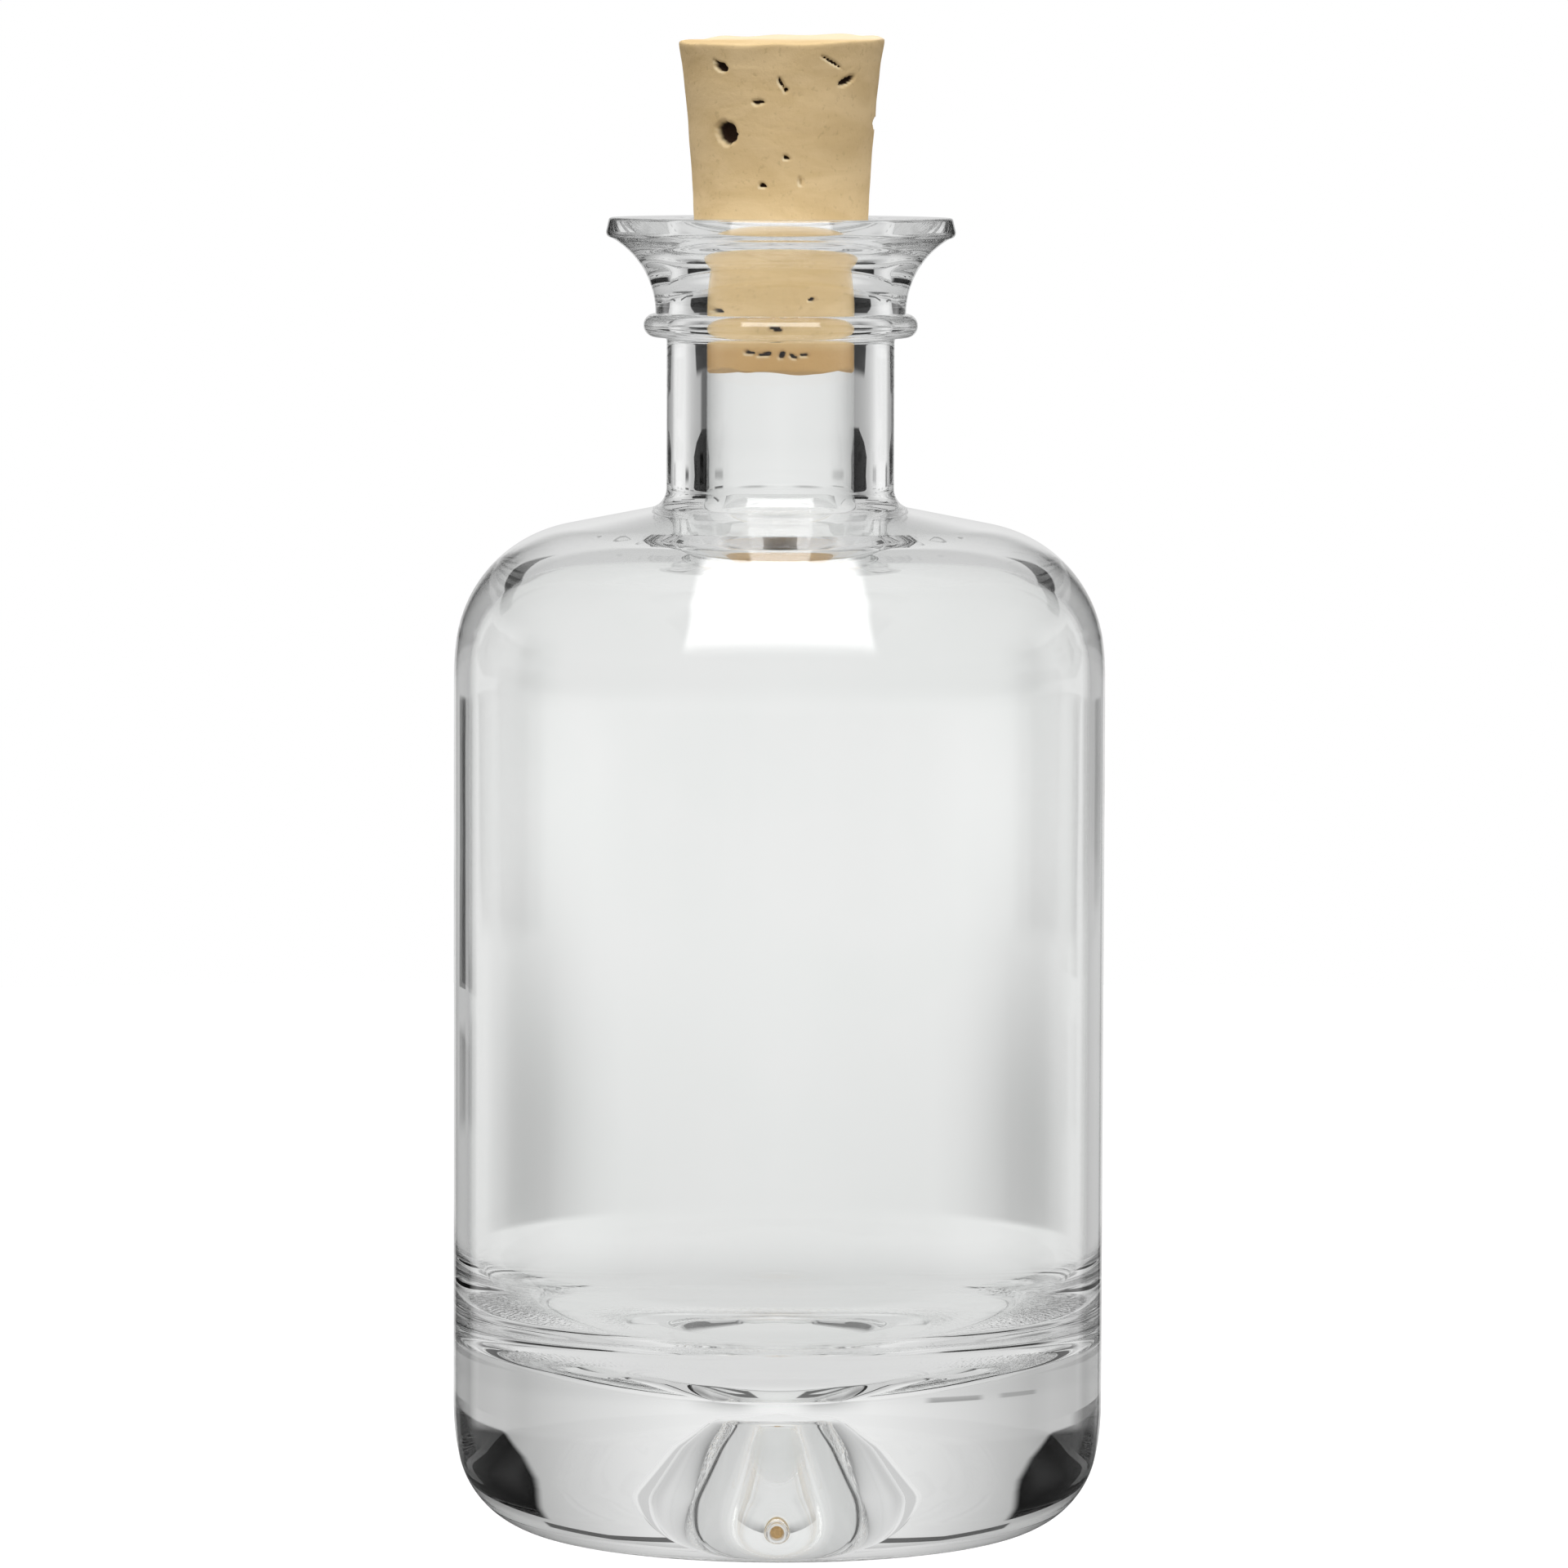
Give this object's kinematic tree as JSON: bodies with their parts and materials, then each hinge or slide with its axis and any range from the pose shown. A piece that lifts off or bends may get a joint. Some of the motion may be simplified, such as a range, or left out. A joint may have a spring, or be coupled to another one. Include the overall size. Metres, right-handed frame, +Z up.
{
  "type": "apothecary bottle with cork",
  "caption": "Round clear-glass apothecary bottle with a rounded shoulder, ringed neck, flared lip and pushed-up base, closed by a tapered natural cork that lifts out.",
  "frame": {"origin": "on the bottle's axis, at the level of the foot ring that it stands on", "axes": "+Z up along the axis of the bottle and the cork; both are turned about it, and -Y is the side that the picture shows"},
  "size_m": [0.052, 0.052, 0.1196],
  "materials": {
    "clear_glass": "gloss",
    "natural_cork": "matte"
  },
  "bodies": {
    "bottle": {"glass_bottle": "clear_glass"},
    "cork": {"cork_stopper": "natural_cork"}
  },
  "joints": [
    {"name": "cork_lift", "type": "slide", "parent": "bottle", "child": "cork", "axis": [0, 0, 1], "range_m": [0, 0.016]}
  ]
}
